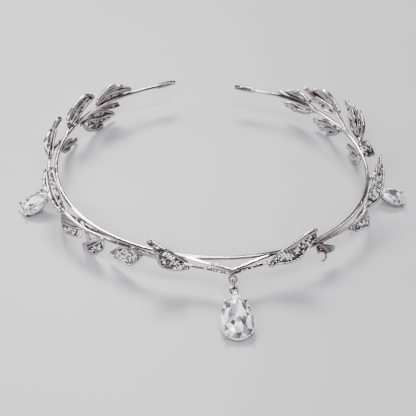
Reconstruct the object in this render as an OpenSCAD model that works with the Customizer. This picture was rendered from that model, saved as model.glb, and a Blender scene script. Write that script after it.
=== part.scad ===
/* [Headband] */
// Width of the headband from side to side
band_w = 140; // [134:1:150]
// Reach of the headband in front of its centre
band_front = 61.3; // [58:0.1:65]
// Reach that the headband would have behind its centre, were it closed
band_back = 61.9; // [58:0.1:65]
// Thickness of the headband wire
band_wire = 1.7; // [1.5:0.1:2]
// Height of the headband's middle line above the table
band_z = 14; // [13.6:0.1:14.4]

/* [Vine] */
// Thickness of the vine wire that carries the leaves
vine_wire = 1.4; // [1.2:0.1:1.6]
// Thickness of the two polished bars that form the brow point
brow_wire = 1.5; // [1.2:0.1:1.7]
// Distance from the headband out to the brow point
brow_reach = 5.1; // [4.8:0.1:5.4]
// Height of the brow point above the table
brow_z = 12; // [11.8:0.1:12.2]

/* [Leaves] */
// Thickness of a cast leaf
leaf_thick = 1.1; // [0.9:0.1:1.4]
// Rise of a leaf's edges above its mid vein
leaf_fold = 0.8; // [0.4:0.1:1]
// Diameter of a leaf's stones, as a share of the leaf's width
leaf_stone = 0.185; // [0.15:0.005:0.19]

/* [Drops] */
// Width of the front drop's pear stone
front_stone_w = 13; // [12:0.5:14]
// Length of the front drop's pear stone
front_stone_len = 18; // [17:0.5:19]
// Slope of the front drop down to the table, in degrees
front_slope = 17.5; // [17:0.5:18]
// Width of a side drop's pear stone
side_stone_w = 10; // [9:0.5:11]
// Length of a side drop's pear stone
side_stone_len = 14; // [13:0.5:15]
// Slope of the side drops down to the table, in degrees
side_slope = 27; // [26.5:0.5:27.5]

/* [Hidden] */

// Left and right as seen from the front, where the camera stands
LEFT = -1;
RIGHT = 1;

// The headband's oval: its radius at an angle from the front
band_mean = (band_w/2 + (band_front + band_back)/2)/2;
band_oval = (band_w/2 - (band_front + band_back)/2)/2;
band_egg = (band_back - band_front)/2;

// Where the bent wire stops, how far its ends spring out, and how they turn
end_angle = [-158.8, 152.4];
end_spring = [0.9, -1.2];
end_turn = [2, -8];
end_straight = 8;
spring_from = 115;

function spring(a) =
    let (s = a < 0 ? 0 : 1, x = (abs(a) - spring_from)/(abs(end_angle[s]) - spring_from))
    x > 0 ? end_spring[s]*x*x : 0;
function band_r(a) = band_mean - band_oval*cos(2*a) - band_egg*cos(3*a) + spring(a);

// A place given by its angle from the front, its distance outside the
// headband's middle line, and its height
function ring(a, out = 0, z = band_z) =
    let (r = band_r(a) + out) [r*sin(a), -r*cos(a), z];
function outward(a) = [sin(a), -cos(a), 0];

function unit(v) = v/norm(v);
function bump(t) = 4*t*(1 - t);
function flat(lists) = [for (l = lists) for (x = l) x];

// One place on the smooth curve through four knots, between the middle two
function curve_at(p, t) =
    0.5*(2*p[1] + (p[2] - p[0])*t + (2*p[0] - 5*p[1] + 4*p[2] - p[3])*t*t
         + (3*p[1] - p[0] - 3*p[2] + p[3])*t*t*t);
function curve(knots, steps) =
    let (n = len(knots) - 1)
    [for (i = [0:n - 1]) for (j = [0:steps - 1])
        curve_at([knots[max(i - 1, 0)], knots[i], knots[i + 1], knots[min(i + 2, n)]], j/steps),
     knots[n]];

// The rings of a round wire along a path that never runs straight up
function heading(path, i) =
    unit(path[min(i + 1, len(path) - 1)] - path[max(i - 1, 0)]);
function wire_rings(path, r, sides) =
    [for (i = [0:len(path) - 1])
        let (d = heading(path, i), across = unit(cross(d, [0, 0, 1])), up = cross(across, d))
        [for (k = [0:sides - 1])
            path[i] + r*(cos(360*(k + 0.5)/sides)*across + sin(360*(k + 0.5)/sides)*up)]];

// A closed skin over a row of rings that all have the same number of points
module skin(rings, closed = false) {
    n = len(rings);
    m = len(rings[0]);
    last = closed ? n - 1 : n - 2;
    sides = [for (i = [0:last]) for (k = [0:m - 1])
        let (a = i*m + k, b = i*m + (k + 1)%m, c = ((i + 1)%n)*m + (k + 1)%m, d = ((i + 1)%n)*m + k)
        each [[a, b, c], [a, c, d]]];
    caps = closed ? [] : [[for (k = [m - 1:-1:0]) k], [for (k = [0:m - 1]) (n - 1)*m + k]];
    polyhedron(points = flat(rings), faces = concat(sides, caps), convexity = 8);
}

module wire(path, d, sides = 8) {
    skin(wire_rings(path, d/2, sides));
}

// Turns and moves a part from its own frame to axes x, y, z at a place
module seat(x, y, z, at) {
    multmatrix([[x[0], y[0], z[0], at[0]],
                [x[1], y[1], z[1], at[1]],
                [x[2], y[2], z[2], at[2]],
                [0, 0, 0, 1]]) children();
}

// The headband's path, with a straight stretch at each end
band_step = 6.5;
end_dir = [for (s = [0:1])
    let (a = end_angle[s], d = a < 0 ? -1 : 1, turn = a + 90*d + end_turn[s]*-d)
    outward(turn)];
end_from = [for (s = [0:1]) ring(end_angle[s])];
band_steps = round((end_angle[1] - end_angle[0])/band_step);
band_path = concat(
    [end_from[0] + end_straight*end_dir[0]],
    [for (i = [0:band_steps]) ring(end_angle[0] + (end_angle[1] - end_angle[0])*i/band_steps)],
    [end_from[1] + end_straight*end_dir[1]]);

// The brow point stands a little to the right, at this angle
brow_at = 0.3;

// The vine on each side: knots of angle, distance out and height.
// It starts at the brow point, runs under the headband and swings out
// to carry the leaves.
vine_left = [[-0.9, 5.2, 10], [9, 1.9, 10], [18, 0.8, 10.3], [25, 0.7, 11.4], [32, 0.8, 12.5],
    [40, 1, 12.7], [48, 1.8, 12.6], [56, 3, 12.6], [66, 3.4, 12.8], [78, 3.4, 13.4],
    [88, 3.2, 14], [97, 2.8, 14.2], [104, 1.2, 14.2]];
vine_right = [[-0.3, 5.2, 10], [9, 1.9, 10], [18, 0.8, 10.3], [25, 0.7, 11.4], [33, 0.8, 12.5],
    [41, 1, 12.7], [48, 1.6, 12.4], [54, 2.8, 12.4], [61, 3, 13], [67, 2, 13.4], [73, 0.9, 13.6]];
vine_steps = 3;

function vine_path(side) =
    curve([for (k = side == LEFT ? vine_left : vine_right) ring(side*k[0], k[1], k[2])], vine_steps);

// The leaves. Each row gives the side; the angle, distance out and height of
// the leaf's foot and of its tip; its width; how far it leans back to face
// up; the bulge of its mid vein upwards and outwards; and how many degrees
// before the foot its stem leaves the headband, or 0 where the foot sits on
// the vine.
SIDE = 0; FOOT = 1; TIP = 4; WIDTH = 7; LEAN = 8; RISE = 9; BOW = 10; STEM = 11;
leaves = [
//   side   foot at         tip at           width lean rise  bow  stem
    [LEFT,  15.4, 2.2, 9.8, 29.5, 1.8, 21,   8.5,  5,   -0.6, 1.1, 0],
    [LEFT,  32, 0.7, 12.3,  46, 0.2, 2.9,    8.5,  8,   -0.8, 1,   0],
    [LEFT,  47.5, 1.8, 12.3, 58.5, 1.7, 0.5, 7.7,  -8,  -2,   1.1, 0],
    [LEFT,  55.7, 2.6, 12.5, 71.3, 3, 2.4,   8.8,  30,  -0.3, 1,   0],
    [LEFT,  65, 3.3, 12.6,  83.4, 4.4, 20,   9,    30,  -0.7, 1.1, 0],
    [LEFT,  94, 3.1, 14,    108.6, 3.3, 22,  8.5,  0,   0.4,  1.2, 0],
    [LEFT,  101.3, 0.3, 12.5, 119.3, 3, 0.6, 8,    4,   -1,   0.9, 3],
    [LEFT,  112.2, 1.6, 14.4, 129.5, 2.9, 20, 8.5, -5,  0.3,  1.1, 6],
    [LEFT,  121.3, 0.5, 11.5, 141, 3.7, 2.6, 10.4, -15, -1.2, 1.2, 4],
    [LEFT,  130, 1.7, 15.2, 148.8, 1.2, 15.2, 8.5, 5,   1.3,  1.2, 4],
    [LEFT,  131, 1, 12.2,   142.6, 1.6, 9,   5.2,  15,  -0.9, 0.8, 3],
    [RIGHT, 15.2, 2.3, 9.7, 33, 1.7, 21.2,   9,    16,  -0.4, 1.1, 0],
    [RIGHT, 34.5, 0.3, 12.4, 41.8, 3, 7,     7,    -5,  -1.6, 1.1, 0],
    [RIGHT, 51.2, 2.8, 11.7, 70.6, 2.6, 3.8, 9,    27,  -0.9, 1,   0],
    [RIGHT, 62.2, 2.4, 13.2, 81.8, 4.2, 24,  9,    40,  -1.2, 1.3, 0],
    [RIGHT, 97.4, 3.2, 15.2, 93.7, 5.9, 10.1, 7,   58,  1.4,  0.6, 3],
    [RIGHT, 92.6, 0.3, 11.8, 108.5, 4.4, 3.2, 8.8, 2,   -3.1, 1,   3],
    [RIGHT, 98.6, 2.9, 15.2, 112.8, 2.6, 27.3, 9,  -2,  -0.8, 0.8, 5],
    [RIGHT, 110.2, 0.8, 11.8, 127.6, 4.8, 3.6, 9.4, 9,  -3.1, 1,   3],
    [RIGHT, 113, 1.9, 19.5, 133, 2.3, 21.5,  9.5,  -8,  -0.6, 0.9, 9],
    [RIGHT, 126, 0.9, 12.2, 141, 3.2, 8,     8.2,  10,  -2.2, 0.9, 3],
    [RIGHT, 127.6, 1.7, 15.1, 143.6, 1.5, 15.7, 8.5, 14, -0.4, 0.9, 4]];

// The outline of half a leaf: the share of its length and of its half width.
// Two teeth point to the tip on each side.
leaf_outline = [[0, 0.12], [0.1, 0.36], [0.27, 0.82], [0.45, 1], [0.62, 0.95],
    [0.645, 0.66], [0.8, 0.62], [0.825, 0.38], [0.93, 0.28], [1, 0.12]];

// A leaf's own axes: x along it, z out of its stone side, y across
function foot(l) = ring(l[SIDE]*l[FOOT], l[FOOT + 1], l[FOOT + 2]);
function tip(l) = ring(l[SIDE]*l[TIP], l[TIP + 1], l[TIP + 2]);
function leaf_x(l) = unit(tip(l) - foot(l));
function leaf_z(l) =
    let (x = leaf_x(l), o = outward(l[SIDE]*(l[FOOT] + l[TIP])/2), z = unit(o - (o*x)*x),
         up = unit([0, 0, 1] - x[2]*x - z[2]*z))
    cos(l[LEAN])*z + sin(l[LEAN])*up;
function leaf_y(l) = cross(leaf_z(l), leaf_x(l));

// A place on a leaf: t along it, q across it and h above its stone side
function leaf_at(l, t, q, h = 0) =
    let (up = leaf_y(l)[2] < 0 ? -1 : 1)
    foot(l) + t*norm(tip(l) - foot(l))*leaf_x(l)
    + (q*l[WIDTH]/2 + up*l[RISE]*bump(t))*leaf_y(l)
    + (h + l[BOW]*bump(t) + leaf_fold*abs(q))*leaf_z(l);

function leaf_ring(l, t, q) =
    [for (k = [[-q, 0], [0, 0], [q, 0], [q, -leaf_thick], [0, -leaf_thick], [-q, -leaf_thick]])
        leaf_at(l, t, k[0], k[1])];

// A short tapered stem between two places
module stem(from, to) {
    hull() {
        translate(from) sphere(d = vine_wire, $fn = 6);
        translate(to) sphere(d = vine_wire*0.9, $fn = 6);
    }
}

module leaf(l) {
    skin([for (e = leaf_outline) leaf_ring(l, e[0], e[1])]);
    on_band = ring(l[SIDE]*(l[FOOT] - l[STEM]));
    stem(l[STEM] > 0 ? on_band : foot(l), leaf_at(l, 0.1, 0, -leaf_thick/2));
}

// A round cut stone: a flat table and eight crown facets
module small_stone(d) {
    cylinder(h = 0.42*d, d1 = d, d2 = 0.56*d, $fn = 8);
}

// The places of a leaf's stones: three pairs beside the mid vein and one on it
stone_spots = [[0.27, 0.34], [0.42, 0.56], [0.59, 0.46], [0.78, 0]];
stone_lift = 0.15;

module stones_on(l) {
    for (s = stone_spots) for (side = s[1] > 0 ? [-1, 1] : [1]) {
        q = side*s[1];
        lift = stone_lift + (q == 0 ? leaf_fold*leaf_stone : 0);
        p = leaf_at(l, s[0], q, lift);
        x = unit(leaf_at(l, s[0] + 0.02, q, lift) - p);
        across = q == 0 ? leaf_y(l) : side*(leaf_at(l, s[0], q + side*0.02, lift) - p);
        z = unit(cross(x, across));
        seat(x, cross(z, x), z, p) small_stone(leaf_stone*min(l[WIDTH], 0.6*norm(tip(l) - foot(l))));
    }
}

module leaf_stones(side) {
    color("aliceblue") for (l = leaves) if (l[SIDE] == side) stones_on(l);
}
module leaf_stones_left() { leaf_stones(LEFT); }
module leaf_stones_right() { leaf_stones(RIGHT); }

// The line of small stones along the lower bars of the brow point
brow_stone = 1.15;
brow_stones_from = 3.2;
brow_stones_step = 1.55;
brow_stones_each = 8;

module brow_stones() {
    color("aliceblue") for (side = [LEFT, RIGHT]) for (i = [0:brow_stones_each - 1]) {
        a = side*(brow_stones_from + i*brow_stones_step);
        t = (abs(a) < 10 ? abs(a)/10 : 1 + (abs(a) - 10)/8);
        k = [for (v = vine_left) [v[1], v[2]]];
        j = floor(t);
        c = curve_at([k[max(j - 1, 0)], k[j], k[j + 1], k[j + 2]], t - j);
        z = unit(0.8*outward(a) + [0, 0, 0.6]);
        x = unit(cross([0, 0, 1], z));
        seat(x, cross(z, x), z, ring(a, c[0], c[1]) + (vine_wire/2 + stone_lift)*z)
            small_stone(brow_stone);
    }
}

// The drops. In a drop's own frame x lies across it, y runs down its middle
// line from the metal that it hangs from, and z is up out of its stone.
// Each row gives the angle, the distance out and the height that it hangs
// from, the slope of its rings, the slope of its stone, how far the stone
// turns to the front and rolls to a side, the stone's width and length, and
// the scale of the rings.
ANGLE = 0; OUT = 1; HEIGHT = 2; LINK_SLOPE = 3; STONE_SLOPE = 4; TURN = 5; ROLL = 6;
STONE_W = 7; STONE_LEN = 8; LINKS = 9;
drop_front = [brow_at, 6.1, 10.2, front_slope, front_slope, 0, -3, front_stone_w, front_stone_len, 1];
drop_left = [-80.8, 0.6, 13, 68, side_slope + 1, 9, 6, side_stone_w, side_stone_len, 0.75];
drop_right = [79.3, 2.7, 11.2, 80, side_slope - 7, 2, -4, side_stone_w, side_stone_len, 0.75];

// A drop's own axes at an angle from the front and a slope
module slope_seat(a, slope, at) {
    y = cos(slope)*outward(a) - sin(slope)*[0, 0, 1];
    z = sin(slope)*outward(a) + cos(slope)*[0, 0, 1];
    seat(cross(y, z), y, z, at) children();
}
function hook(d) = ring(d[ANGLE], d[OUT], d[HEIGHT]);

module hang(d) {
    slope_seat(d[ANGLE], d[LINK_SLOPE], hook(d)) children();
}

// The setting and its stone swing about the far end of the jump ring
module swing(d) {
    reach = d[LINKS]*(bail_y - bail_r);
    joint = hook(d) + reach*(cos(d[LINK_SLOPE])*outward(d[ANGLE]) - sin(d[LINK_SLOPE])*[0, 0, 1]);
    slope_seat(d[ANGLE] + d[TURN], d[STONE_SLOPE], joint)
        rotate([0, -d[ROLL], 0]) translate([0, -reach, 0]) children();
}

// The three rings of a drop at scale 1: loop, jump ring and bail
link_wire = 0.65;
loop_r = 1.5;
loop_y = 1.6;
jump_half = 1.9;
jump_wide = 0.95;
bail_r = 1.45;
link_gap = 0.3;
jump_y = loop_y + loop_r - link_wire - link_gap + jump_half;
bail_y = jump_y + jump_half - link_wire - link_gap + bail_r;
stone_from = bail_y + bail_r + 0.15;
link_sides = 6;

// A ring of wire: its half width and half length, flat in the x and y plane
module link(rx, ry, d, turns) {
    skin([for (i = [0:turns - 1])
        let (a = 360*i/turns, c = [rx*cos(a), ry*sin(a), 0], n = unit([ry*cos(a), rx*sin(a), 0]))
        [for (k = [0:link_sides - 1])
            let (b = 360*k/link_sides) c + d/2*(cos(b)*n + [0, 0, sin(b)])]], closed = true);
}

module drop_loop(d) {
    hang(d) scale(d[LINKS]) translate([0, loop_y, 0]) link(loop_r, loop_r, link_wire, 12);
}

module jump_ring(d) {
    color("silver") hang(d) scale(d[LINKS]) translate([0, jump_y, 0])
        rotate([0, 90, 0]) link(jump_wide, jump_half, link_wire, 14);
}
module jump_ring_front() { jump_ring(drop_front); }
module jump_ring_left() { jump_ring(drop_left); }
module jump_ring_right() { jump_ring(drop_right); }

// A pear outline, at a turn from its tip, which points to -y; a larger pear_point makes a sharper tip
pear_point = 0.4;
pear_peak = 0.885;
function pear_at(w, l, a, z = 0) =
    [w/2/pear_peak*sin(a)*pow(sin(a/2), pear_point), -l/2*cos(a), z];
function pear(w, l, turns, z = 0) =
    [for (i = [0:turns - 1]) pear_at(w, l, 360*i/turns, z)];

// The cut of a pear stone, as shares of its width
girdle = 0.3;
crown = 0.13;
pavilion = 0.2;
table_share = 0.56;
star_share = 0.8;
culet_share = 0.1;
facets = 8;

function shrink(points, share, z) = [for (p = points) [p[0]*share, p[1]*share, z]];

module pear_stone(w, l) {
    rim = pear(w, l, 2*facets, girdle/2);
    low = pear(w, l, 2*facets, -girdle/2);
    table = shrink([for (i = [0:facets - 1]) rim[2*i]], table_share, girdle/2 + crown*w);
    star = shrink([for (i = [0:facets - 1]) rim[2*i + 1]], star_share, girdle/2 + crown*w*0.55);
    keel = shrink([for (i = [0:facets - 1]) low[2*i + 1]], 0.55, -girdle/2 - pavilion*w*0.55);
    culet = shrink([for (i = [0:facets - 1]) low[2*i]], culet_share, -girdle/2 - pavilion*w);
    n = facets;
    tb = 0;
    st = n;
    rm = 2*n;
    lw = 4*n;
    kl = 6*n;
    cu = 7*n;
    faces = concat(
        [[for (i = [0:n - 1]) tb + n - 1 - i]],
        [for (i = [0:n - 1]) let (j = (i + 1)%n) [tb + i, tb + j, st + i]],
        [for (i = [0:n - 1]) let (h = (i + n - 1)%n) each
            [[tb + i, st + i, rm + 2*i], [tb + i, rm + 2*i, st + h]]],
        [for (i = [0:n - 1]) let (j = (i + 1)%n) each
            [[st + i, rm + 2*i + 1, rm + 2*i], [st + i, rm + 2*j, rm + 2*i + 1]]],
        [for (i = [0:2*n - 1]) let (j = (i + 1)%(2*n)) each
            [[rm + i, rm + j, lw + j], [rm + i, lw + j, lw + i]]],
        [for (i = [0:n - 1]) let (j = (i + 1)%n) each
            [[kl + i, lw + 2*i, lw + 2*i + 1], [kl + i, lw + 2*i + 1, lw + 2*j]]],
        [for (i = [0:n - 1]) let (h = (i + n - 1)%n) each
            [[cu + i, lw + 2*i, kl + i], [cu + i, kl + h, lw + 2*i]]],
        [for (i = [0:n - 1]) let (j = (i + 1)%n) [cu + i, kl + i, cu + j]],
        [[for (i = [0:n - 1]) cu + i]]);
    polyhedron(points = concat(table, star, rim, low, keel, culet), faces = faces, convexity = 4);
}

module drop_stone(d) {
    color("white") swing(d)
        translate([0, stone_from*d[LINKS] + rim_wall + rim_gap + d[STONE_LEN]/2, 0])
            pear_stone(d[STONE_W], d[STONE_LEN]);
}
module drop_stone_front() { drop_stone(drop_front); }
module drop_stone_left() { drop_stone(drop_left); }
module drop_stone_right() { drop_stone(drop_right); }

// A drop's setting: a cup with a thin wall, claws with round heads and a bail
rim_gap = 0.15;
rim_wall = 0.35;
rim_top = 0.35;
claw_d = 0.9;
claw_head = 1.35;
claw_angles = [48, 146, 214, 312];
cup_turns = 2*facets;
cup_floor = 0.6;

module cup(w, l) {
    g = 2*rim_gap;
    t = 2*(rim_gap + rim_wall);
    deep = pavilion*w + girdle/2 + rim_gap;
    lower = 0.55;
    skin([pear((w + g)*0.34, (l + g)*0.34, cup_turns, -deep),
          pear(w + g, l + g, cup_turns, -girdle/2 - rim_gap),
          pear(w + g, l + g, cup_turns, rim_top),
          pear(w + t, l + t, cup_turns, rim_top),
          pear(w + t, l + t, cup_turns, -girdle - rim_gap),
          pear((w + t)*lower, (l + t)*lower, cup_turns, -deep - cup_floor)]);
}

module claw(w, l, a) {
    p = pear_at(w, l, a);
    o = unit(p);
    translate(p + (rim_gap + claw_d/2)*o - [0, 0, 1.6])
        cylinder(h = 2.4, d = claw_d, $fn = 6);
    translate(p + (rim_gap + 0.25)*o + [0, 0, 1.1]) sphere(d = claw_head, $fn = 6);
}

module drop_setting(d) {
    w = d[STONE_W];
    l = d[STONE_LEN];
    color("silver") swing(d) {
        scale(d[LINKS]) translate([0, bail_y, 0]) link(bail_r, bail_r, link_wire, 12);
        translate([0, stone_from*d[LINKS] + rim_wall + rim_gap + l/2, 0]) {
            cup(w, l);
            for (a = claw_angles) claw(w, l, a);
        }
    }
}
module drop_setting_front() { drop_setting(drop_front); }
module drop_setting_left() { drop_setting(drop_left); }
module drop_setting_right() { drop_setting(drop_right); }

// The polished upper bars of the brow point
brow_from = 17.5;

module brow_bar(side) {
    wire([ring(side*brow_from), ring(brow_at, brow_reach, brow_z)], brow_wire);
}

// All the soldered metal: headband, brow point, vine, leaves and drop loops
module vine_circlet() {
    color("silver") {
        wire(band_path, band_wire);
        for (side = [LEFT, RIGHT]) {
            brow_bar(side);
            wire(vine_path(side), vine_wire, 6);
        }
        stem(ring(brow_at, brow_reach, brow_z), ring(brow_at, 5.7, 9.9));
        for (l = leaves) leaf(l);
        for (d = [drop_front, drop_left, drop_right]) drop_loop(d);
        for (d = [drop_left, drop_right])
            stem(ring(d[ANGLE], 0, band_z - 0.4), ring(d[ANGLE], d[OUT] - 0.2, d[HEIGHT] + 0.1));
    }
}

// An end eye: a wrapped sleeve over the wire's end and a small flat eye
sleeve_d = 2.9;
sleeve_len = 8;
sleeve_gap = 0.1;
eye_d = 3.2;
eye_h = 1.8;
eye_bore = 1.4;
wraps = 5;
wrap_d = 0.7;

module end_eye(s) {
    x = end_dir[s];
    start = end_from[s] + (end_straight - sleeve_len + 1.2)*x;
    color("silver") seat(x, cross([0, 0, 1], x), [0, 0, 1], start) {
        difference() {
            union() {
                rotate([0, 90, 0]) cylinder(h = sleeve_len, d = sleeve_d - wrap_d/2, $fn = 32);
                for (i = [0:wraps - 1]) translate([(i + 0.7)*sleeve_len/(wraps + 0.4), 0, 0])
                    rotate([0, 90, 0]) rotate_extrude($fn = 32)
                        translate([(sleeve_d - wrap_d)/2, 0]) circle(d = wrap_d, $fn = 16);
                translate([sleeve_len + eye_d/2 - 0.5, 0, -eye_h/2])
                    cylinder(h = eye_h, d = eye_d, $fn = 32);
            }
            translate([-1, 0, 0]) rotate([0, 90, 0])
                cylinder(h = sleeve_len, d = band_wire + 2*sleeve_gap, $fn = 32);
            translate([sleeve_len + eye_d/2 - 0.5, 0, -eye_h])
                cylinder(h = 2*eye_h, d = eye_bore, $fn = 32);
        }
    }
}
module end_eye_left() { end_eye(0); }
module end_eye_right() { end_eye(1); }

vine_circlet();
end_eye_left();
end_eye_right();
leaf_stones_left();
leaf_stones_right();
brow_stones();
jump_ring_front();
jump_ring_left();
jump_ring_right();
drop_setting_front();
drop_setting_left();
drop_setting_right();
drop_stone_front();
drop_stone_left();
drop_stone_right();
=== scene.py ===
# %% [markdown]
# # An open leaf-vine crown
#
# The real crown is a headband of bent wire with a pointed brow. A cast vine
# is soldered along both sides, its leaves are set with small stones, and
# three pear-cut stones hang from it on rings. It lies on a table, so the low
# leaves and the drops touch the floor.
#
# Every size here is in millimetres, and each finished piece is scaled to
# metres. The imported CAD model is loaded first. The pieces are built in its
# frame, ride on one empty of their own, and hide the CAD nodes they stand for.

# %% The imported model
import math
import random

import bmesh
import bpy
from mathutils import Matrix, Vector


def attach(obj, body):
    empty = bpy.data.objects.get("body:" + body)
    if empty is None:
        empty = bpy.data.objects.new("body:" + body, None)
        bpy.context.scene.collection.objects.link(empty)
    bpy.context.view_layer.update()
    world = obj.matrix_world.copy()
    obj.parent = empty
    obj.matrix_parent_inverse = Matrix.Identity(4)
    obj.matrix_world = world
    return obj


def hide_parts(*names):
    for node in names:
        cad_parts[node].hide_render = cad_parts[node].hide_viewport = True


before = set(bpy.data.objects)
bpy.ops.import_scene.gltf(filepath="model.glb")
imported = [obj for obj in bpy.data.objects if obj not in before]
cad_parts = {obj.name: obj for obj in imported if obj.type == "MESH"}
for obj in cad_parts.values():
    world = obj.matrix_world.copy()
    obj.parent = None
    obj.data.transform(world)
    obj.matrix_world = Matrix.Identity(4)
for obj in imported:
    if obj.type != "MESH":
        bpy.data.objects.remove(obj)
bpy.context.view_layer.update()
print("nodes of the packed model:", sorted(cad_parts))

# %% [markdown]
# ## The oval that everything is placed on
#
# A crown is easiest to lay out in its own round coordinates: an angle from
# the brow, a distance outside the headband's middle line, and a height above
# the table. The headband isn't a circle. It is a little wider than it is
# deep, and its two ends spring in or out at the back, so its radius is a
# short sum of cosines. The straight last stretches also turn a little.

# %% The headband's oval
LEFT, RIGHT = -1, 1
SIDES = {LEFT: "left", RIGHT: "right"}
UP = Vector((0, 0, 1))
BAND_WIDTH = 140
BAND_FRONT = 61.3
BAND_BACK = 61.9
BAND_WIRE = 1.7
BAND_HEIGHT = 14
END_ANGLE = {LEFT: -158.8, RIGHT: 152.4}
END_SPRING = {LEFT: 0.9, RIGHT: -1.2}
END_TURN = {LEFT: 2, RIGHT: -8}
SPRING_FROM = 115
END_STRAIGHT = 8

half_width, half_depth = BAND_WIDTH / 2, (BAND_FRONT + BAND_BACK) / 2
band_mean = (half_width + half_depth) / 2
band_oval = (half_width - half_depth) / 2
band_egg = (BAND_BACK - BAND_FRONT) / 2


def sin(angle):
    return math.sin(math.radians(angle))


def cos(angle):
    return math.cos(math.radians(angle))


def band_radius(angle):
    side = LEFT if angle < 0 else RIGHT
    past = (abs(angle) - SPRING_FROM) / (abs(END_ANGLE[side]) - SPRING_FROM)
    spring = END_SPRING[side] * past**2 if past > 0 else 0
    return band_mean - band_oval * cos(2 * angle) - band_egg * cos(3 * angle) + spring


def outward(angle):
    return Vector((sin(angle), -cos(angle), 0))


def ring(angle, out=0, height=BAND_HEIGHT):
    return (band_radius(angle) + out) * outward(angle) + height * UP


print("headband reaches", round(band_radius(0), 1), "mm forwards,", round(band_radius(90), 1), "to a side")

# %% [markdown]
# ## Wire, the stuff of the crown
#
# Nearly all of this crown is rod: the headband, the vine, the fingers of the
# leaves, the rings and the claws. In Blender a rod can be a curve with a
# bevel, but a swept mesh may change its thickness along the way. The sweep
# starts with one circle. Its edge is extruded, and the new ring is moved on
# to the next place of the path, with `extrude_edge_only` and `transform`.

# %% Smooth paths
def curve(knots, steps):
    """A smooth line through the knots, with this many steps from each knot to the next."""
    last = len(knots) - 1
    path = []
    for i in range(last):
        a, b, c, d = (knots[min(max(i + k, 0), last)] for k in (-1, 0, 1, 2))
        bend, swing = 2 * a - 5 * b + 4 * c - d, 3 * b - a - 3 * c + d
        for j in range(steps):
            t = j / steps
            path.append(0.5 * (2 * b + (c - a) * t + bend * t**2 + swing * t**3))
    return path + [knots[last]]


def seat(x, y, z, at):
    """The matrix that brings a thing from its own axes to axes x, y and z at a place."""
    return Matrix([[x[i], y[i], z[i], at[i]] for i in range(3)] + [[0, 0, 0, 1]])


# %% The sweep
WELD = 0.0005
TIP_SHARES = (0.45, 0.86)


def per_place(size, count):
    return size if isinstance(size, list) else [size] * count


def rod(path, wide, thick=None, normal=UP, sides=12, closed=False, turn=0):
    """One rod along a path. wide and thick are half sizes across the normal and along it."""
    count = len(path)
    wide = per_place(wide, count)
    thick = wide if thick is None else per_place(thick, count)
    up = Vector(normal)
    stations = []
    for i, here in enumerate(path):
        behind = path[i - 1] if closed or i > 0 else here
        ahead = path[(i + 1) % count] if closed or i < count - 1 else here
        along = (ahead - behind).normalized()
        up = (up - up.dot(along) * along).normalized()
        frame_here = seat(wide[i] * up.cross(along), thick[i] * up, along, here)
        stations.append(frame_here @ Matrix.Rotation(math.radians(turn), 4, "Z"))
    if closed:
        stations.append(stations[0])

    body = bmesh.new()
    bmesh.ops.create_circle(body, cap_ends=not closed, segments=sides, radius=1, matrix=stations[0])
    rim = list(body.edges)
    for before, after in zip(stations, stations[1:]):
        made = bmesh.ops.extrude_edge_only(body, edges=rim)["geom"]
        rim = [g for g in made if isinstance(g, bmesh.types.BMEdge) and g.is_boundary]
        corners = list({v for e in rim for v in e.verts})
        bmesh.ops.transform(body, matrix=after @ before.inverted(), verts=corners)
    if closed:
        bmesh.ops.remove_doubles(body, verts=body.verts, dist=WELD)
    else:
        bmesh.ops.contextual_create(body, geom=rim)
    bmesh.ops.recalc_face_normals(body, faces=body.faces)
    return body


def rounded(count, half, end=1):
    """Half sizes for a rod with rounded tips, which grows or shrinks to this share of them at its end."""
    sizes = []
    for i in range(count):
        t = i / (count - 1)
        size = half * (1 + (end - 1) * t)
        nearest = round(min(t, 1 - t) * (count - 1))
        sizes.append(size * TIP_SHARES[nearest] if nearest < len(TIP_SHARES) else size)
    return sizes


def ball(radius, place, around=12, rings=8):
    body = bmesh.new()
    bmesh.ops.create_uvsphere(body, u_segments=around, v_segments=rings, radius=radius, matrix=place)
    return body


def moved(x, y, z):
    return Matrix.Translation((x, y, z))


# %% [markdown]
# ## From bmesh to finished piece
#
# A piece of the crown is many small bodies soldered together, so each body
# is modelled alone and then joined to its piece. The piece is scaled from
# millimetres to metres, and the CAD node that it stands for is hidden.

# %% Joining and finishing
MM = 0.001


def join(piece, *bodies, material=0, smooth=True):
    for body in bodies:
        for face in body.faces:
            face.smooth = smooth
            face.material_index = material
        scratch = bpy.data.meshes.new("scratch")
        body.to_mesh(scratch)
        body.free()
        piece.from_mesh(scratch)
        bpy.data.meshes.remove(scratch)


def finish_piece(name, piece, looks, node, sharp=40):
    bmesh.ops.scale(piece, vec=(MM, MM, MM), verts=piece.verts)
    mesh = bpy.data.meshes.new(name)
    piece.to_mesh(mesh)
    piece.free()
    for look in looks:
        mesh.materials.append(look)
    mesh.set_sharp_from_angle(angle=math.radians(sharp))
    obj = bpy.data.objects.new(name, mesh)
    bpy.context.scene.collection.objects.link(obj)
    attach(obj, "root")
    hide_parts(node)
    mesh.calc_loop_triangles()
    print(name, "has", len(mesh.loop_triangles), "triangles")


# %% [markdown]
# ## Writing shader maths as Python
#
# A material's colour, gloss and relief come from chains of nodes. Wiring
# each one by hand hides the idea, so a small class wraps a node's output
# and lets Python's own operators add the Math nodes.

# %% Sockets with operators
class Value:
    """The output of a node, ready for arithmetic."""

    def __init__(self, shop, output):
        self.shop, self.output = shop, output

    def math(self, operation, *inputs):
        return self.shop.node("ShaderNodeMath", {"operation": operation}, dict(enumerate(inputs)))

    def __add__(self, other):
        return self.math("ADD", self, other)

    __radd__ = __add__

    def __mul__(self, other):
        return self.math("MULTIPLY", self, other)

    __rmul__ = __mul__

    def __pow__(self, other):
        return self.math("POWER", self, other)


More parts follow.
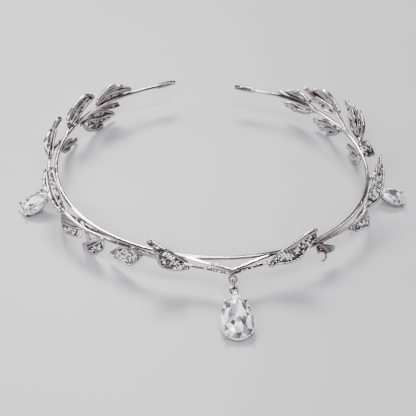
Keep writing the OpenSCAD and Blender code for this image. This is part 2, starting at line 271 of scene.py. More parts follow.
class Shop:
    """One material and its nodes."""

    def __init__(self, name):
        self.material = bpy.data.materials.new(name)
        self.material.use_nodes = True
        self.tree = self.material.node_tree
        self.shader = self.tree.nodes["Principled BSDF"]

    def node(self, kind, settings=None, sockets=None, output=0):
        made = self.tree.nodes.new(kind)
        for key, value in (settings or {}).items():
            if key == "stops":
                self.set_stops(made.color_ramp, value)
            else:
                setattr(made, key, value)
        for key, value in (sockets or {}).items():
            self.feed(made.inputs[key], value)
        return Value(self, made.outputs[output])

    def set_stops(self, ramp, stops):
        while len(ramp.elements) < len(stops):
            ramp.elements.new(0.5)
        for element, (place, colour) in zip(ramp.elements, stops):
            element.position = place
            element.color = (*colour, 1)

    def feed(self, socket, value):
        if isinstance(value, Value):
            self.tree.links.new(value.output, socket)
        else:
            socket.default_value = value

    def finish(self, **sockets):
        for key, value in sockets.items():
            self.feed(self.shader.inputs[key.replace("_", " ")], value)
        return self.material

    def ramp(self, stops, place):
        return self.node("ShaderNodeValToRGB", {"stops": stops}, {"Fac": place})

    def mix(self, share, one, other):
        return self.node("ShaderNodeMix", {"data_type": "RGBA"}, {0: share, 6: one, 7: other}, output=2)

    def noise(self, size_mm, detail=2):
        """Cloudy noise whose patches are about this many millimetres across."""
        place = self.node("ShaderNodeTexCoord", output=3)
        sockets = {"Vector": place, "Scale": 1 / (size_mm * MM), "Detail": detail}
        return self.node("ShaderNodeTexNoise", sockets=sockets)

    def on_faces(self, attribute):
        """A number that each face of the mesh carries."""
        return self.node("ShaderNodeAttribute", {"attribute_name": attribute}, output=2)

    def bump(self, height, depth_mm):
        sockets = {"Height": height, "Strength": 1, "Distance": depth_mm * MM}
        return self.node("ShaderNodeBump", sockets=sockets)


# %% [markdown]
# ## The plating
#
# The metal is an alloy with bright silver-toned plating, in four states.
# Polished wire reflects like a mirror with a slight ripple. Cast leaves have
# a rougher skin. The bed behind the small stones is darker, as painted shade,
# because little light gets down between them. The dull plating is a darker
# metal for the drops' rings, which a bright metal would hide against a pale
# floor, and painted shade on three low leaves that lie under the headband.
# In all four the creases darken to a dark film colour, partly tarnish and
# partly painted shade. Ambient occlusion finds them, and a power sets how
# much they darken.

# %% Metal materials
# the creases darken to this colour: partly tarnish, partly painted shade
TARNISH_AND_SHADE = (0.06, 0.05, 0.055, 1)
CLOUD_MM = 7
GRAIN_MM = 0.6
GRAIN_GLOSS = 0.14
GRAIN_DEPTH = 0.3
CREASE_MM = 1.5


def plating(name, pale, dim, gloss, ripple_mm, depth_mm, crease):
    shop = Shop(name)
    cloud = shop.noise(CLOUD_MM, detail=3)
    grain = shop.noise(GRAIN_MM, detail=3)
    blend = shop.ramp([(0.35, pale), (0.65, dim)], cloud)
    near = {"Distance": CREASE_MM * MM}
    open_air = shop.node("ShaderNodeAmbientOcclusion", {"samples": 8}, near, output=1)
    shade = shop.mix(open_air**crease, TARNISH_AND_SHADE, blend)
    relief = shop.bump(shop.noise(ripple_mm) + GRAIN_DEPTH * grain, depth_mm)
    return shop.finish(Base_Color=shade, Metallic=1, Roughness=gloss + GRAIN_GLOSS * grain, Normal=relief)


# pale and dim colour, gloss, width and depth of the ripple, and the power of the painted crease shade and
# tarnish
polished = plating("polished_plating", (0.68, 0.62, 0.63), (0.5, 0.43, 0.45), 0.07, 2.2, 0.04, 1)
cast = plating("cast_plating", (0.64, 0.59, 0.6), (0.36, 0.315, 0.33), 0.12, 1.1, 0.16, 1.5)
# painted shade: the bed is dark because little light gets down between the stones
bed = plating("bed_plating", (0.17, 0.155, 0.16), (0.09, 0.08, 0.085), 0.25, 0.7, 0.12, 1)
# a darker metal for the drops' rings, and painted shade on three low leaves
dull_and_shaded = plating("dull_and_shaded_plating", (0.34, 0.29, 0.29), (0.19, 0.155, 0.16), 0.18, 1.1, 0.16, 1.5)
print("metals:", polished.name, cast.name, bed.name, dull_and_shaded.name)

# %% [markdown]
# ## Stones
#
# A rhinestone is cut glass with a mirror foil behind it, so each facet looks
# bright or dark, whatever its neighbour does. Real refraction is mostly
# noise in so small a picture. So the facets of the big pear stones carry
# painted reflections, a brightness as an attribute of the face, under glass
# that lets only a quarter of the light through. The small stones are about a
# millimetre across, and there glass and foil merge into one silvery glitter:
# again an attribute, one painted brightness for each stone, which stands in
# for its sparkle.

# %% Glass, foil and small stones
WHITE = (1, 1, 1)


def bright_glass():
    shop = Shop("pear_glass")
    dark, dim, pale = (0.03, 0.03, 0.03), (0.15, 0.14, 0.16), (0.55, 0.54, 0.57)
    # the mosaic is painted reflections: one brightness for each facet
    mosaic = shop.ramp([(0, dark), (0.3, dim), (0.6, pale), (0.85, WHITE)], shop.on_faces("facet"))
    glassy = dict(Transmission_Weight=0.25, IOR=1.5, Roughness=0.02, Coat_Weight=1, Coat_Roughness=0.01)
    return shop.finish(Base_Color=mosaic, **glassy)


def mirror_foil():
    shop = Shop("foil")
    wrinkle = shop.noise(1.5)
    tint = shop.ramp([(0.35, WHITE), (0.7, (0.72, 0.72, 0.76))], wrinkle)
    return shop.finish(Base_Color=tint, Metallic=0.4, Roughness=0.2 + 0.1 * wrinkle)


def small_glitter():
    shop = Shop("small_stone")
    dark, dim, pale = (0.04, 0.035, 0.04), (0.22, 0.2, 0.21), (0.74, 0.72, 0.73)
    # one painted brightness for each stone, which stands in for its sparkle
    tint = shop.ramp([(0.05, dark), (0.28, dim), (0.48, pale), (0.6, WHITE)], shop.on_faces("shade"))
    return shop.finish(Base_Color=tint, Metallic=0.25, Roughness=0.06, Coat_Weight=1, Coat_Roughness=0.02)


glass, foil, glitter = bright_glass(), mirror_foil(), small_glitter()
print("stone materials:", glass.name, foil.name, glitter.name)

# %% [markdown]
# ## The headband
#
# One bent wire with a straight stretch at each end. It is round and
# polished, so fourteen sides with smooth shading are enough.

# %% Headband
def end_heading(side):
    return outward(END_ANGLE[side] + 90 * side - END_TURN[side] * side)


def band_path(step=1.6):
    first, last = END_ANGLE[LEFT], END_ANGLE[RIGHT]
    steps = round((last - first) / step)
    bend = [ring(first + (last - first) * i / steps) for i in range(steps + 1)]
    left_end = bend[0] + END_STRAIGHT * end_heading(LEFT)
    right_end = bend[-1] + END_STRAIGHT * end_heading(RIGHT)
    return [left_end, *bend, right_end]


headband = bmesh.new()
join(headband, rod(band_path(), BAND_WIRE / 2, sides=14))
finish_piece("headband", headband, [polished], "vine_circlet")

# %% [markdown]
# ## The pointed brow
#
# Two flat polished bars leave the headband and meet in a mitre in front of
# it. They are one rod with a corner: at the corner the rod is a little
# wider, so that it keeps its thickness round the bend. Eight sides turned by
# half a side give the bars their flat tops.

# %% Brow bars
BROW_AT = 0.3
BROW_FROM = 17.5
BROW_REACH = 5.1
BROW_HEIGHT = 12
BROW_WIRE = 1.5

brow_point = ring(BROW_AT, BROW_REACH, BROW_HEIGHT)
brow_ends = [ring(side * BROW_FROM) for side in SIDES]
corner = (brow_ends[0] - brow_point).angle(brow_ends[1] - brow_point)
mitre = 1 / math.sin(corner / 2)
half = BROW_WIRE / 2
path = [brow_ends[0], brow_point, brow_ends[1]]
brow = bmesh.new()
join(brow, rod(path, [half, half * mitre, half], half, sides=8, turn=22.5))
finish_piece("brow_bars", brow, [polished], "vine_circlet", sharp=30)
print("the bars meet at", round(math.degrees(corner)), "degrees")

# %% [markdown]
# ## The vine
#
# On each side a thinner wire starts under the brow point, runs below the
# headband and swings out to carry the leaves. Its places are knots of
# angle, distance out and height, joined by a smooth curve. A short post
# under the brow point carries the front drop's loop.

# %% Vine wires
VINE_WIRE = 1.4
# the half width at a post's tip, and how far out and how high the front post ends
POST_TIP = 0.62
FRONT_POST = (5.7, 9.9)
VINE_FRONT = [(9, 1.9, 10), (18, 0.8, 10.3), (25, 0.7, 11.4)]
VINE = {
    LEFT: [
        (-0.9, 5.2, 10), *VINE_FRONT, (32, 0.8, 12.5), (40, 1, 12.7), (48, 1.8, 12.6), (56, 3, 12.6),
        (66, 3.4, 12.8), (78, 3.4, 13.4), (88, 3.2, 14), (97, 2.8, 14.2), (104, 1.2, 14.2),
    ],
    RIGHT: [
        (-0.3, 5.2, 10), *VINE_FRONT, (33, 0.8, 12.5), (41, 1, 12.7), (48, 1.6, 12.4), (54, 2.8, 12.4),
        (61, 3, 13), (67, 2, 13.4), (73, 0.9, 13.6),
    ],
}

vine = bmesh.new()
for side, knots in VINE.items():
    path = curve([ring(side * angle, out, height) for angle, out, height in knots], 7)
    join(vine, rod(path, rounded(len(path), VINE_WIRE / 2)))
post = [brow_point, ring(BROW_AT, *FRONT_POST)]
join(vine, rod(post, [BROW_WIRE / 2, POST_TIP], normal=(1, 0, 0)))
finish_piece("vine_wires", vine, [cast], "vine_circlet")

# %% [markdown]
# ## The leaves
#
# Each leaf is a casting: blunt fingers that spread from the stem, a thin
# plate behind them, and a field of small stones on the side that faces out.
# A leaf of the table has its foot and tip in the oval's coordinates, its
# width, how far it leans back, the bulge of its mid vein upwards and
# outwards, and how many degrees before its foot the stem leaves the headband
# (0 for a leaf that sits on the vine). The names run from the brow to the
# back, L and R are the sides, and a b marks the lower leaf of a pair.

# %% Table of leaves
LEAVES = {
    # foot: angle, out, height; tip: angle, out, height; width, lean, rise, bow, stem
    "L1": (15.4, 2.2, 9.8, 29.5, 1.8, 21, 8.5, 5, -0.6, 1.1, 0),
    "L2": (32, 0.7, 12.3, 46, 0.2, 2.9, 8.5, 8, -0.8, 1, 0),
    "L3": (47.5, 1.8, 12.3, 58.5, 1.7, 0.5, 7.7, -8, -2, 1.1, 0),
    "L4": (55.7, 2.6, 12.5, 71.3, 3, 2.4, 8.8, 30, -0.3, 1, 0),
    "L5": (65, 3.3, 12.6, 83.4, 4.4, 20, 9, 30, -0.7, 1.1, 0),
    "L6": (94, 3.1, 14, 108.6, 3.3, 22, 8.5, 0, 0.4, 1.2, 0),
    "L6b": (101.3, 0.3, 12.5, 119.3, 3, 0.6, 8, 4, -1, 0.9, 3),
    "L7": (112.2, 1.6, 14.4, 129.5, 2.9, 20, 8.5, -5, 0.3, 1.1, 6),
    "L7b": (121.3, 0.5, 11.5, 141, 3.7, 2.6, 10.4, -15, -1.2, 1.2, 4),
    "L8": (130, 1.7, 15.2, 148.8, 1.2, 15.2, 8.5, 5, 1.3, 1.2, 4),
    "L8b": (131, 1, 12.2, 142.6, 1.6, 9, 5.2, 15, -0.9, 0.8, 3),
    "R1": (15.2, 2.3, 9.7, 33, 1.7, 21.2, 9, 16, -0.4, 1.1, 0),
    "R2": (34.5, 0.3, 12.4, 41.8, 3, 7, 7, -5, -1.6, 1.1, 0),
    "R3": (51.2, 2.8, 11.7, 70.6, 2.6, 3.8, 9, 27, -0.9, 1, 0),
    "R4": (62.2, 2.4, 13.2, 81.8, 4.2, 24, 9, 40, -1.2, 1.3, 0),
    "R5": (97.4, 3.2, 15.2, 93.7, 5.9, 10.1, 7, 58, 1.4, 0.6, 3),
    "R5b": (92.6, 0.3, 11.8, 108.5, 4.4, 3.2, 8.8, 2, -3.1, 1, 3),
    "R6": (98.6, 2.9, 15.2, 112.8, 2.6, 27.3, 9, -2, -0.8, 0.8, 5),
    "R6b": (110.2, 0.8, 11.8, 127.6, 4.8, 3.6, 9.4, 9, -3.1, 1, 3),
    "R7": (113, 1.9, 19.5, 133, 2.3, 21.5, 9.5, -8, -0.6, 0.9, 9),
    "R7b": (126, 0.9, 12.2, 141, 3.2, 8, 8.2, 10, -2.2, 0.9, 3),
    "R8": (127.6, 1.7, 15.1, 143.6, 1.5, 15.7, 8.5, 14, -0.4, 0.9, 4),
}
LEAF_FOLD = 0.8


class Leaf:
    """A leaf's own axes, and the places on it."""

    def __init__(self, name, row):
        self.name = name
        self.side = LEFT if name[0] == "L" else RIGHT
        foot_angle, foot_out, foot_height, tip_angle, tip_out, tip_height = row[:6]
        self.width, lean, self.rise, self.bow, stem = row[6:]
        self.foot = ring(self.side * foot_angle, foot_out, foot_height)
        way = ring(self.side * tip_angle, tip_out, tip_height) - self.foot
        self.length, self.x = way.length, way.normalized()
        out = outward(self.side * (foot_angle + tip_angle) / 2)
        flat = (out - out.dot(self.x) * self.x).normalized()
        up = (UP - UP.dot(self.x) * self.x - UP.dot(flat) * flat).normalized()
        self.z = cos(lean) * flat + sin(lean) * up
        self.y = self.z.cross(self.x)
        if self.y.z < 0:
            self.y = -self.y
        self.root = ring(self.side * (foot_angle - stem)) if stem else self.foot

    def at(self, t, q, lift=0):
        """The place at a share t of its length and q of its half width, lifted from its stone side."""
        bulge = 4 * t * (1 - t)
        return (
            self.foot
            + t * self.length * self.x
            + (q * self.width / 2 + self.rise * bulge) * self.y
            + (lift + self.bow * bulge + LEAF_FOLD * abs(q)) * self.z
        )


leaves = [Leaf(name, row) for name, row in LEAVES.items()]
lengths = [round(leaf.length, 1) for leaf in leaves]
print(len(leaves), "leaves,", min(lengths), "to", max(lengths), "mm long")

# %% [markdown]
# ## Fingers
#
# A finger is a rod along a smooth line across the leaf, flatter than it is
# wide, with a blunt round end. No two leaves are alike: some have a rim that
# runs round the tip, some end in three steps like a feather, and one has a
# stem bent over like a walking cane. So every leaf has its own fingers. The
# leaves at the front show their stone side to the viewer, and their fingers
# stand up as a rim round the stones. The leaves at the back show their inner
# side. There the fingers lie on the inside, they are broader, and their tips
# reach past the plate. The table is in hundredths, to keep its rows short.

# %% Table of fingers
FINGERS = {
    # half width, half thickness, lift from the stone side, and the knots by twos: share along, share across
    "L1": [
        (75, 60, -30, 10, 77, 37, 79, 61, 67, 83, 35, 99, 11),
        (50, 55, -30, 100, 0, 99, -33, 87, -30, 73, -20, 55, -18),
        (80, 40, -30, 72, -13, 63, -67, 49, -110, 33, -110, 14, -80, 0, -26),
    ],
    "L2": [
        (50, 60, -20, -8, 11, 7, 61, 31, 94, 53, 98, 72, 76),
        (35, 40, -30, 60, 77, 79, 50, 98, 7),
        (50, 55, -20, 70, 65, 82, -5, 73, -44, 57, -70, 40, -90, 22, -60, 5, -20),
        (130, 50, -60, 24, 32, 10, 12, -6, -12, -20, -40),
    ],
    "L3": [
        (90, 60, -20, -5, 0, 18, 40, 45, 61, 98, -6),
        (55, 50, -20, 0, 0, 28, 10, 65, 0, 76, -60, 59, -86, 30, -90),
        (45, 50, -20, 66, -10, 52, -35, 55, -70),
        (30, 30, -30, 0, 0, 6, -52, 18, -90),
    ],
    "L4": [
        (130, 60, -30, 0, 14, 27, 47, 60, 62, 98, 45),
        (115, 60, -30, 2, -5, 34, 11, 68, 20, 98, 8),
        (85, 60, -30, 5, -17, 38, -20, 64, -16, 88, -22),
        (50, 50, -30, 78, -35, 57, -81, 35, -95, 15, -95, 0, -85),
    ],
    "L5": [
        (80, 60, -30, 2, -20, 23, -50, 44, -50, 64, -37, 82, -19, 98, -7),
        (60, 50, -30, 0, 0, 18, -14, 43, -8, 64, 10, 84, 48),
        (70, 55, -30, 0, 20, 20, 50, 40, 85, 60, 110, 82, 125),
        (80, 60, 0, 93, -20, 81, -50, 71, -66, 55, -62, 35, -50, 22, -50, 8, -30),
    ],
    "L6": [
        (95, 80, -20, -5, 30, 10, 66, 34, 48, 55, 43, 75, 46, 89, 43, 100, 7, 97, -40),
        (80, 90, 60, 66, 30, 45, 75, 28, 95, 14, 80, 2, 40),
        (60, 50, -60, 5, -10, 25, -50, 50, -70, 75, -50),
        (50, 50, -90, 5, 0, 30, 0, 55, 10, 70, 30),
    ],
    "L6b": [
        (70, 55, -70, 0, 0, 20, 30, 45, 55, 70, 60),
        (70, 55, -70, 5, 0, 30, 5, 60, 10, 95, 25),
        (70, 55, -70, 0, -5, 20, -40, 45, -65, 70, -55),
    ],
    "L7": [
        (60, 60, -90, -3, 25, 7, 85, 27, 108, 52, 105, 74, 95, 90, 62),
        (55, 60, -90, 89, 66, 97, 0, 85, -7, 67, -27, 45, -36, 5, 0),
        (40, 50, -90, 8, 20, 37, 38, 60, 49, 82, 54),
        (50, 50, -40, 10, -30, 30, -80, 50, -80, 68, -50),
    ],
    "L7b": [
        (55, 50, -90, 30, 70, 47, 77, 69, 64, 85, 36, 97, 10),
        (65, 60, -90, 5, 0, 26, 12, 47, 11, 67, 14, 84, 9, 95, 0),
        (75, 60, -90, -6, -30, 10, -74, 34, -92, 54, -86, 66, -66),
        (45, 45, -90, -20, -50, -5, -12, 28, 49),
        (50, 50, -80, 30, -30, 50, -40, 72, -30, 86, -10),
    ],
    "L8": [
        (85, 70, -90, -3, 20, 9, 55, 23, 88, 37, 108, 55, 112),
        (65, 60, -90, 20, 40, 34, 65, 46, 77, 60, 70, 74, 81),
        (90, 55, -70, 10, 0, 22, 11, 39, 29, 58, 18, 79, 28, 94, 3),
        (60, 50, -70, 5, -10, 30, -50, 55, -60, 75, -40),
    ],
    "L8b": [
        (50, 50, -60, 0, 0, 30, 30, 60, 40, 90, 40),
        (50, 50, -60, 0, 0, 35, -30, 70, -50, 100, -30),
    ],
    "R1": [
        (120, 60, -20, 34, 86, 42, 80, 54, 72, 68, 67, 81, 60, 95, 31, 100, -2),
        (50, 55, -20, 2, 10, 10, 55, 22, 85, 36, 95),
        (45, 55, -10, 90, 30, 90, -22, 81, -44, 71, -67, 60, -75),
        (50, 55, -20, 3, 0, 19, -43, 32, -72, 45, -86, 62, -75),
    ],
    "R2": [
        (120, 60, -30, -25, -60, 0, 1, 15, 45, 42, 37, 62, -2, 79, -40),
        (60, 50, -30, 30, 50, 51, 82, 86, 50, 112, -25),
        (50, 40, -30, 70, -10, 90, -35, 110, -30),
        (40, 45, 10, 5, 0, 29, -50, 36, -15, 56, -15, 73, -68, 75, -107, 65, -127),
    ],
    "R3": [
        (90, 75, -20, -8, -10, 10, 3, 25, 44, 47, 73, 78, 68),
        (50, 50, -30, 70, 55, 90, 10, 93, -46, 83, -80, 66, -100),
        (60, 50, -30, 2, 0, 10, -40, 30, -60, 50, -75),
    ],
    "R4": [
        (100, 70, -20, 102, -10, 91, -4, 80, -3, 66, -5),
        (60, 60, -20, 61, 85, 44, 97, 27, 76, 11, 34, 0, 10),
        (55, 55, -25, 78, 65, 67, 54, 54, 34),
        (60, 60, -20, 82, -39, 74, -65, 62, -77, 49, -89, 30, -100, 12, -60, 2, -20),
    ],
    "R5": [
        (85, 60, -20, -12, 50, 2, -56, 40, -90, 76, -87, 103, -69),
        (80, 50, -30, 10, -20, 57, -37, 97, -20),
        (80, 50, -30, 0, 4, 44, 10, 86, 30),
        (75, 50, -30, -8, 90, 31, 90, 75, 95),
    ],
    "R5b": [
        (80, 60, -80, 93, 39, 74, 56, 51, 68, 18, 41, 0, 0),
        (75, 55, -80, 82, -32, 53, 10, 20, 0, 0, -10),
        (75, 55, -80, 66, -75, 40, -60, 20, -35, 0, -10),
    ],
    "R6": [
        (90, 60, -80, 98, 32, 84, 48, 70, 50, 54, 34, 38, 5, 15, 0),
        (80, 60, -80, 80, 93, 66, 108, 50, 100, 34, 69, 15, 20),
        (85, 70, -80, 63, 139, 49, 148, 31, 132, 16, 83, 3, 15),
        (65, 50, -80, 70, -33, 55, -62, 38, -90, 18, -50, 4, -10),
    ],
    "R6b": [
        (85, 60, -80, 94, 41, 78, 55, 58, 72, 33, 65, 5, 10),
        (80, 55, -80, 82, -46, 57, 10, 34, 25, 5, 0),
        (75, 55, -80, 66, -77, 37, -30, 5, -5),
        (45, 45, -80, 66, 108, 47, 108, 24, 67),
    ],
    "R7": [
        (95, 60, -80, 98, 16, 84, 10, 70, 0, 54, 4, 30, 10, 8, 0),
        (85, 60, -80, 79, 61, 66, 64, 51, 62, 32, 47, 12, 15),
        (85, 70, -80, 61, 100, 46, 105, 31, 87, 16, 47, 0, 8),
        (65, 50, -80, 76, -75, 63, -40, 51, -35, 42, -68, 22, -50, 4, -10),
    ],
    "R7b": [
        (75, 60, -80, 96, 32, 78, 52, 65, 38, 45, 10, 10, 0),
        (85, 60, -80, 76, -24, 56, 0, 40, -10, 10, -5),
        (55, 50, -80, 60, 75, 39, 50, 17, 25, -3, 5),
    ],
    "R8": [
        (85, 60, -80, 99, 21, 81, 1, 64, -5, 41, 0, 10, 0),
        (85, 60, -80, 78, 54, 57, 54, 39, 45, 20, 17),
        (80, 60, -80, 52, 103, 33, 90, 19, 57, 3, 16),
        (65, 50, -80, 72, -60, 50, -62, 28, -50, 6, -10),
    ],
}


# %% Finger rods
INNER_LIFT = -0.5
INNER_WIDER = 1.4
INNER_TIP = 0.1
FREE_LIFT = 0.05


class Finger:
    """One finger: its size, its middle line in shares of the leaf, and how far the plate follows it."""

    def __init__(self, leaf, row):
        self.half_wide, self.half_thick, self.lift = (size / 100 for size in row[:3])
        self.inner = self.lift < INNER_LIFT
        if self.inner:
            self.half_wide *= INNER_WIDER
            self.half_thick *= INNER_WIDER
        self.leaf = leaf
        self.line = curve([Vector((t / 100, q / 100, 0)) for t, q in zip(row[3::2], row[4::2])], 4)
        self.webbed_to = max(p.x for p in self.line) - (INNER_TIP if self.inner else 0)
        self.free = self.lift > FREE_LIFT

    def rod(self):
        path = [self.leaf.at(p.x, p.y, self.lift) for p in self.line]
        wide, thick = (rounded(len(path), half) for half in (self.half_wide, self.half_thick))
        return rod(path, wide, thick, normal=self.leaf.z, sides=10)

    def distance(self, t, q):
        """How far a place on the leaf is from the finger's middle line, in millimetres."""
        long, half = self.leaf.length, self.leaf.width / 2
        return min(math.hypot((p.x - t) * long, (p.y - q) * half) for p in self.line)


fingers = {leaf.name: [Finger(leaf, row) for row in FINGERS[leaf.name]] for leaf in leaves}
print(sum(len(rows) for rows in fingers.values()), "fingers")

# %% [markdown]
# ## Plates and stems
#
# Behind its fingers a leaf is one thin plate, which reaches from the lowest
# finger to the highest one at each station along the leaf. It starts as a
# flat grid whose corners are moved to their places, and `solidify` gives it
# its thickness. It starts beyond the stem, so the roots of the fingers stay
# open between each other, as on the real casting. A stem is a short tapered
# rod with a drop of solder at its root. Three leaves on the left are held by
# a second one as well: two broad straps and a thinner brace.

# %% Plates
PLATE_FROM = 0.16
PLATE_TO = 0.95
PLATE_TOP = -0.15
PLATE_THICK = 0.45
PLATE_STEPS = 16
PLATE_LEAST = 0.3
NEAR = 0.07


def station(share):
    return PLATE_FROM + (PLATE_TO - PLATE_FROM) * share


def reach(leaf, t):
    """The lowest and highest share across the leaf that its plate reaches at a share t of its length."""
    webbed = [f for f in fingers[leaf.name] if not f.free]
    near = [p.y for f in webbed for p in f.line if abs(p.x - t) < NEAR and p.x <= f.webbed_to]
    narrow = PLATE_LEAST * min(1, 4 * (1 - t))
    return min(near + [-narrow]), max(near + [narrow])


def plate_edges(leaf):
    """The plate's edges at equal steps, each eased twice towards its neighbours."""
    rows = [reach(leaf, station(i / PLATE_STEPS)) for i in range(PLATE_STEPS + 1)]
    for _ in range(2):
        before, after = rows[:1] + rows[:-1], rows[1:] + rows[-1:]
        rows = [[(b[k] + 2 * r[k] + a[k]) / 4 for k in (0, 1)] for b, r, a in zip(before, rows, after)]
    return rows


edges = {leaf.name: plate_edges(leaf) for leaf in leaves}


def edge_at(leaf, t):
    place = (t - PLATE_FROM) / (PLATE_TO - PLATE_FROM) * PLATE_STEPS
    i = min(max(int(place), 0), PLATE_STEPS - 1)
    share = min(max(place - i, 0), 1)
    rows = edges[leaf.name]
    return [rows[i][k] + (rows[i + 1][k] - rows[i][k]) * share for k in (0, 1)]


def leaf_plate(leaf):
    body = bmesh.new()
    bmesh.ops.create_grid(body, x_segments=PLATE_STEPS, y_segments=8, size=1)
    for corner in body.verts:
        t = station((corner.co.x + 1) / 2)
        low, high = edge_at(leaf, t)
        corner.co = leaf.at(t, low + (high - low) * (corner.co.y + 1) / 2, PLATE_TOP)
    body.normal_update()
    if sum((face.normal for face in body.faces), Vector()).dot(leaf.z) < 0:
        bmesh.ops.reverse_faces(body, faces=body.faces)
    bmesh.ops.solidify(body, geom=body.faces[:], thickness=PLATE_THICK)
    bmesh.ops.recalc_face_normals(body, faces=body.faces)
    return body


# %% Stems, solder and straps
STEM = 0.85
STEM_ARCH = 0.25
NECK = (0.14, 0, -0.5)
SOLDER = 1.05
SOLDER_FLAT = 0.9
STRAP_THICK = [0.6, 0.75, 0.9]
STRAP_LIFT = -0.3
STRAPS = {
    # start: angle, out, height; end: share along, share across; half widths at start and end
    "L2": (-21.5, 1.5, 12, 0.1, 0.42, 1.3, 2),
    "L3": (-54.6, 2.7, 12.4, 0.5, 0.5, 0.95, 1.45),
    "L4": (-45, 0.1, 13.7, 0.25, 0.4, 0.4, 1.9),
}


def leaf_stem(leaf):
    neck = leaf.at(*NECK)
    path = curve([leaf.root, (leaf.root + neck) / 2 + STEM_ARCH * leaf.z, neck], 4)
    return rod(path, rounded(len(path), STEM, end=STEM), normal=leaf.z, sides=10)


def solder(leaf):
    place = Matrix.Translation(leaf.root) @ Matrix.Diagonal((1, 1, SOLDER_FLAT, 1))
    return ball(SOLDER, place, around=14, rings=9)


def strap(leaf):
    """A second stem, where a leaf has one: from the vine or the band to a place on the leaf."""
    if leaf.name in STRAPS:
        angle, out, height, t, q, first, last = STRAPS[leaf.name]
        start, end = ring(angle, out, height), leaf.at(t, q, STRAP_LIFT)
        path, wide = [start, (start + end) / 2, end], [first, (first + last) / 2, last]
        yield rod(path, wide, STRAP_THICK, normal=leaf.z, sides=10)


# %% [markdown]
# ## Beads
#
# Many leaves carry round drops of metal: the scalloped edge of the tall left
# leaf, the prongs of the coarse leaf on the right, and single balls at the
# ends of wires. They are small spheres, pressed a little flat. With them the
# castings of a side are complete: fingers, beads, stems, solder and plates.
# Six plates at the right's back catch the light, so they aren't darkened.

# %% Beads on the leaves
BEAD_FLAT = 0.85
BEADS = {
    # in hundredths too: share along, share across, lift, radius
    "L4": [(0, -85, -10, 80)],
    "L5": [
        (93, -20, 30, 90), (81, -50, 30, 110), (70, -67, 30, 100), (55, -60, 30, 100), (37, -50, 30, 100),
        (22, -50, 30, 100), (10, -40, 30, 90),
    ],
    "L6": [(64, 20, 130, 90), (46, 55, 140, 110), (29, 75, 140, 110), (14, 55, 130, 90)],
    "L7": [(8, 85, -20, 75), (19, 100, -10, 80), (31, 105, -10, 80), (44, 103, -10, 75), (57, 99, -20, 70)],
    "L6b": [(55, -41, 30, 100), (93, 30, 30, 90), (64, 12, 30, 80)],
    "L7b": [(65, 86, 30, 50)],
    "L8b": [(57, -10, 30, 50), (71, 9, 30, 50), (89, 37, 30, 50)],
    "R1": [
        (4, 5, 20, 120), (18, 43, 30, 80), (11, 16, 30, 70), (24, -55, 10, 75), (31, -72, 10, 70),
        (39, -83, 10, 70), (47, -90, 10, 70),
    ],
    "R2": [(31, -45, 10, 70), (70, -60, 20, 55), (66, -124, 10, 65)],
    "R3": [
        (81, 24, 30, 65), (74, -14, 30, 65), (69, -55, 30, 70), (65, -90, 10, 70), (52, 38, 40, 60),
        (42, 0, 40, 75), (60, -19, 30, 60), (23, -4, 40, 65), (28, -58, 20, 75), (10, -50, 10, 70),
        (1, -28, 0, 60), (-8, -50, 0, 60),
    ],
    "R5": [(30, -55, 30, 70), (62, -55, 20, 60), (20, 45, 30, 70), (60, 60, 20, 60)],
    "R6": [(41, -65, -100, 60), (57, -90, -80, 60)],
}


def leaf_beads(leaf):
    for row in BEADS.get(leaf.name, []):
        t, q, lift, radius = (number / 100 for number in row)
        place = seat(leaf.x, leaf.z.cross(leaf.x), leaf.z, leaf.at(t, q, lift))
        yield ball(radius, place @ Matrix.Diagonal((1, 1, BEAD_FLAT, 1)))


# %% The castings of both sides
# three low leaves under the headband get the dull plating as painted shade
SHADED_LEAVES = ("L6b", "L8b", "R2")
PALE_BEDS = ("R5", "R5b", "R6b", "R7", "R7b", "R8")
CAST, BED, DULL = 0, 1, 2

for side, word in SIDES.items():
    castings = bmesh.new()
    for leaf in leaves:
        if leaf.side == side:
            rods = [finger.rod() for finger in fingers[leaf.name]]
            join(castings, *rods, material=DULL if leaf.name in SHADED_LEAVES else CAST)
            join(castings, *leaf_beads(leaf), leaf_stem(leaf), solder(leaf), *strap(leaf))
            join(castings, leaf_plate(leaf), material=CAST if leaf.name in PALE_BEDS else BED)
    finish_piece("leaves_" + word, castings, [cast, bed, dull_and_shaded], "vine_circlet", sharp=60)

# %% [markdown]
# ## Packed stones
#
# The small stones sit in rows with every second row shifted by half a
# step, as eggs sit in a tray. Each one is an eight-sided cone with its top
# cut flat, which is the table of the cut. No setter gets every stone quite
# level, and the small tilts are what makes a packed field glitter. Tiny metal
# beads between the stones hold them. The plates are drilled through, so on
# the inner side of the back leaves the stones show between the fingers too.
# A few leaves have coarser stones, and on some they are darker, or change
# from foot to tip: a stone's painted brightness, a random share that stands
# in for its sparkle, is raised to a power there, and a power above 1 dims
# all but the brightest stones. On the three low leaves under the headband
# this dimming is painted shade.

# %% Small stones on the leaves
STONE = 0.9
STONE_PITCH = 1
COARSE_LEAVES = {"L1": 1.4, "R1": 1.3, "L6": 1.2, "R5": 1.3, "R3": 1.2}
# powers at foot and tip; on L6b, L8b and R2, under the headband, the dimming is painted shade
STONE_DIMMING = {
    "L1": (1.4, 0.9), "L3": (2, 2), "L5": (2.2, 2.2), "L6": (1.5, 1.5), "L6b": (3, 3), "L8b": (2, 2),
    "R1": (0.5, 2.2), "R2": (2.5, 2.5), "R3": (3, 3), "R4": (2, 2),
}
TABLE_SHARE = 0.56
CROWN_HEIGHT = 0.4
STONE_TILT = 9
STONE_LIFT = 0.08
ROW_STEP = 0.88
EDGE_ROOM = 0.3
FIELD_FROM, FIELD_TO = PLATE_FROM + 0.04, PLATE_TO - 0.02
# the least gap between a stone's middle and a finger, on the outer and on the inner side
FINGER_ROOM = {False: 0.25, True: 0.2}
GRIP_BEAD = 0.2
GRIP_AT = (0.3, 0.5)
GRIP_LIFT = 0.22
GRIP_SHADE = 0.75
# how far along and across the skin is felt for its slope
FEEL = (0.02, 0.05)

